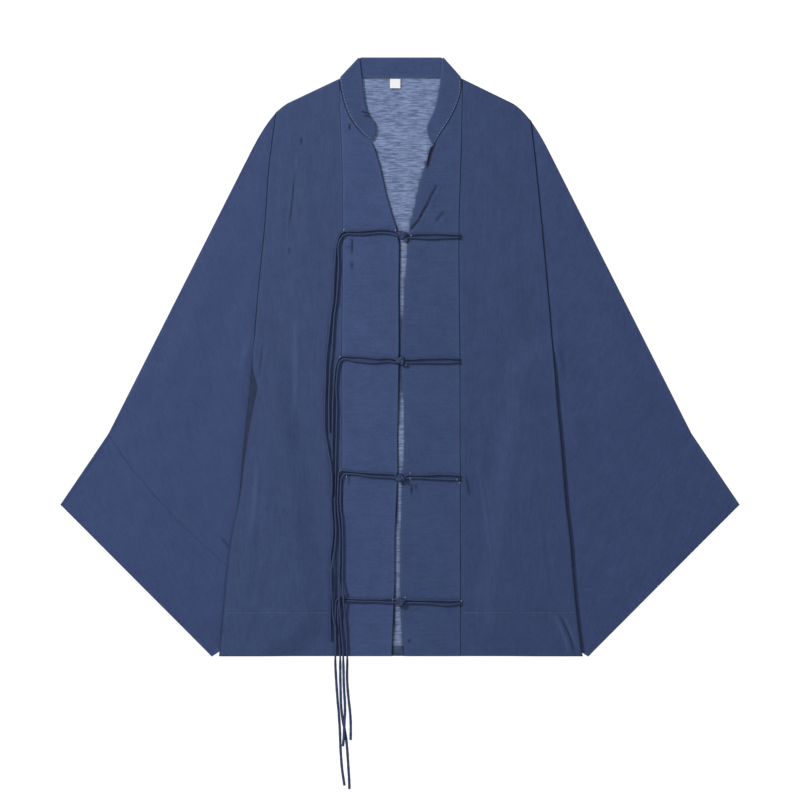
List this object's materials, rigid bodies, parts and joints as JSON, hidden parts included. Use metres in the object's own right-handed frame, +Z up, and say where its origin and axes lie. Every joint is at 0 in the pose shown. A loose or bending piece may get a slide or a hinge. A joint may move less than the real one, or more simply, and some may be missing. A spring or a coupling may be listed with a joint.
{
  "type": "kimono jacket",
  "caption": "Wide-sleeved kimono jacket with a stand collar, doubled front bands and knotted cord ties, laid flat with its front up.",
  "frame": {"origin": "on the surface the jacket lies on, under the middle of the garment's box, ties left out", "axes": "+Z up out of the surface, +Y from the hem towards the collar, +X towards the wearer's left sleeve"},
  "size_m": [0.8828, 0.9503, 0.0094],
  "materials": {
    "front_cloth": "smooth navy twill with a soft sheen",
    "band_cloth": "doubled navy twill, pressed edges",
    "sleeve_cloth": "smooth navy twill with a soft sheen",
    "inside_cloth": "lighter inside of the navy cloth, slubbed crosswise",
    "cord_cloth": "narrow turned cord of the same cloth",
    "label_cloth": "white woven tape, bare"
  },
  "bodies": {
    "root": {"back": "inside_cloth", "label": "label_cloth", "collar": "band_cloth", "right_front": "front_cloth", "right_band": "band_cloth", "right_sleeve": "sleeve_cloth", "right_cuff": "sleeve_cloth", "left_front": "front_cloth", "left_band": "band_cloth", "left_sleeve": "sleeve_cloth", "left_cuff": "sleeve_cloth", "left_strand_1a": "cord_cloth", "left_strand_1b": "cord_cloth", "left_strand_2a": "cord_cloth", "left_strand_2b": "cord_cloth", "left_strand_3a": "cord_cloth", "left_strand_3b": "cord_cloth", "left_strand_4a": "cord_cloth", "left_strand_4b": "cord_cloth", "right_tail_1a": "cord_cloth", "right_tail_1b": "cord_cloth", "right_tail_2a": "cord_cloth", "right_tail_2b": "cord_cloth", "right_tail_3a": "cord_cloth", "right_tail_3b": "cord_cloth", "right_tail_4a": "cord_cloth", "right_tail_4b": "cord_cloth", "knot_1": "cord_cloth", "knot_2": "cord_cloth", "knot_3": "cord_cloth", "knot_4": "cord_cloth"}
  },
  "joints": []
}
